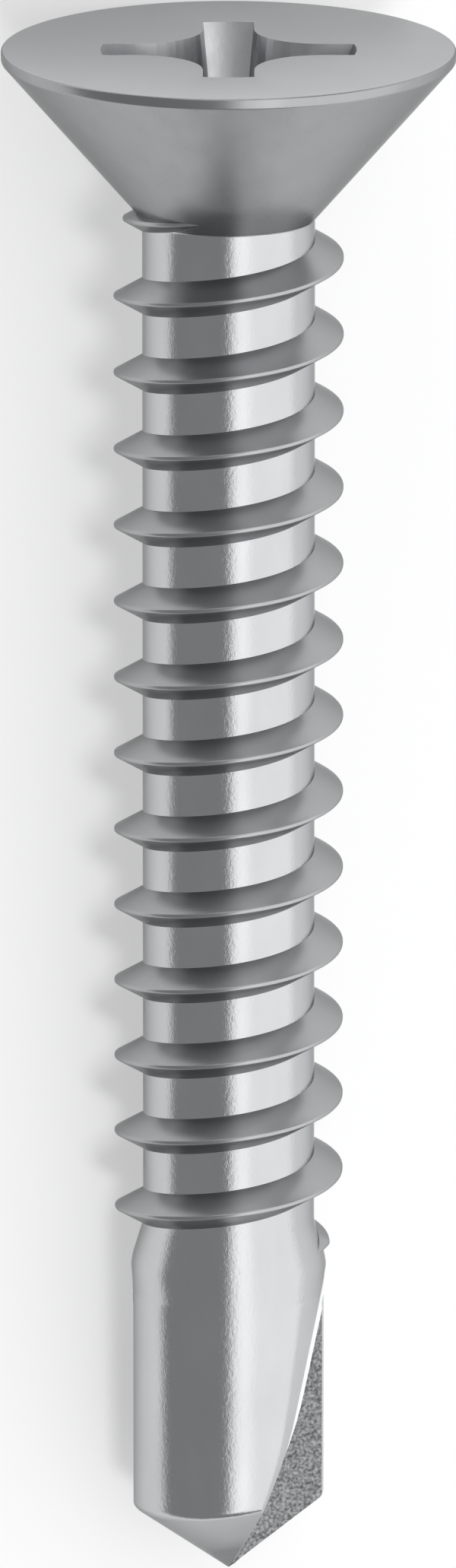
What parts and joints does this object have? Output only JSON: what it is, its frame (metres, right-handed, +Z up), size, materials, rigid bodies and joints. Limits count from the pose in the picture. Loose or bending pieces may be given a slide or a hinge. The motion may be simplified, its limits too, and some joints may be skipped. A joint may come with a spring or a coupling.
{
  "type": "self drilling screw",
  "caption": "Countersunk self drilling screw with a cross recess, a right-hand spaced thread and a fluted drill point.",
  "frame": {"origin": "middle of the bounding box at the floor, with the screw lying on its side at rest on the rim of its head and the corner of its drill", "axes": "+Y along the screw towards its head, level with the floor; +Z up; +X across. The screw's own axis rises 4.96 degrees towards the head"},
  "size_m": [0.0092, 0.0324, 0.0092],
  "materials": {
    "steel": "bright bare steel, smooth and lightly drawn"
  },
  "bodies": {
    "root": {"screw": "steel"}
  },
  "joints": []
}
